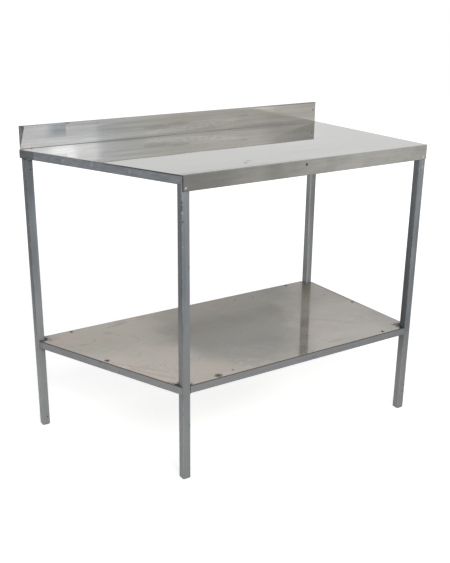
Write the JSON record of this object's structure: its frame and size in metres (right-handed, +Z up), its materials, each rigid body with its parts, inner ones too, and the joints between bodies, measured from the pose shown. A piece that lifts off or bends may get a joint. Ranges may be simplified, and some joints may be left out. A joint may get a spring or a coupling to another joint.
{
  "type": "angled lab table",
  "caption": "Stainless laboratory bench on a welded square-tube frame, one end cut at an angle, with a rear upstand, a folded front apron and a notched lower shelf.",
  "frame": {"origin": "on the floor, under the middle of the bench's outline box", "axes": "+X along the front to the square end, +Y to the back with the upstand, +Z up"},
  "size_m": [1.0999, 0.5648, 0.966],
  "materials": {
    "frame": "worn blue-grey paint on mild steel tube, satin",
    "worktop": "polished stainless sheet with fine scratches and smears",
    "shelf": "dulled stainless sheet, stained brown at edges and corners",
    "screws": "bright steel, some rusted",
    "rivet": "dark steel",
    "feet": "scuffed grey plastic"
  },
  "bodies": {
    "root": {"leg_front_left": "frame", "leg_front_right": "frame", "leg_rear_left": "frame", "leg_rear_right": "frame", "foot_front_left": "feet", "foot_front_right": "feet", "foot_rear_left": "feet", "foot_rear_right": "feet", "top_rail_front": "frame", "top_rail_right": "frame", "top_rail_rear": "frame", "top_rail_left": "frame", "shelf_rail_front": "frame", "shelf_rail_right": "frame", "shelf_rail_rear": "frame", "shelf_rail_left": "frame", "worktop_sheet": "worktop", "upstand_end_plate": "worktop", "shelf_sheet": "shelf", "apron_screw_front_left": "screws", "apron_screw_front_right": "screws", "shelf_screw_front_left": "screws", "shelf_screw_front_right": "screws", "shelf_screw_right": "screws", "shelf_screw_rear_right": "screws", "shelf_screw_rear_left": "screws", "shelf_screw_left": "screws", "upstand_rivet": "rivet"}
  },
  "joints": []
}
